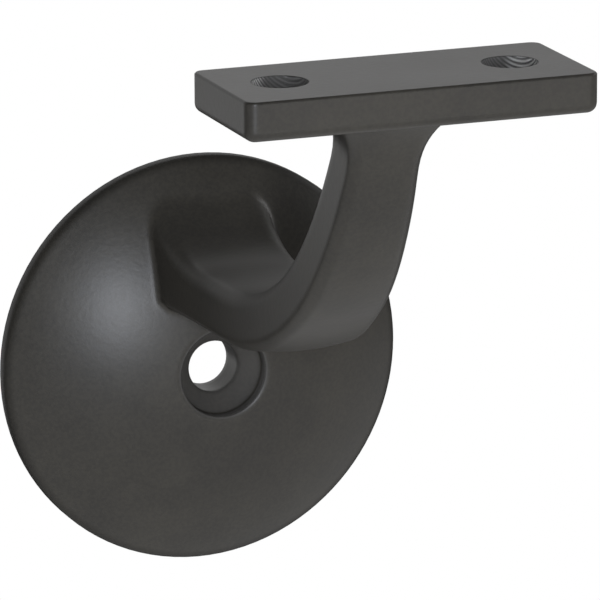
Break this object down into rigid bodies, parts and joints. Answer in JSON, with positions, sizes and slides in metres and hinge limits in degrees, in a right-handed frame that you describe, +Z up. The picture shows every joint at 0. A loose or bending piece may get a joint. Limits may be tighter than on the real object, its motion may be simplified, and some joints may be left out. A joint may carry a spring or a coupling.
{
  "type": "handrail bracket",
  "caption": "Wall bracket for a handrail: domed round rose with a central screw hole, curved arm and flat saddle plate with two holes.",
  "frame": {"origin": "centre of the rose on the wall plane", "axes": "+Z up, +X along the rail and to the right for a person facing the wall, -Y from the wall into the room"},
  "size_m": [0.07, 0.1035, 0.1026],
  "materials": {
    "dark_coating": "satin dark bronze-black coating on a casting"
  },
  "bodies": {
    "root": {"bracket": "dark_coating"}
  },
  "joints": []
}
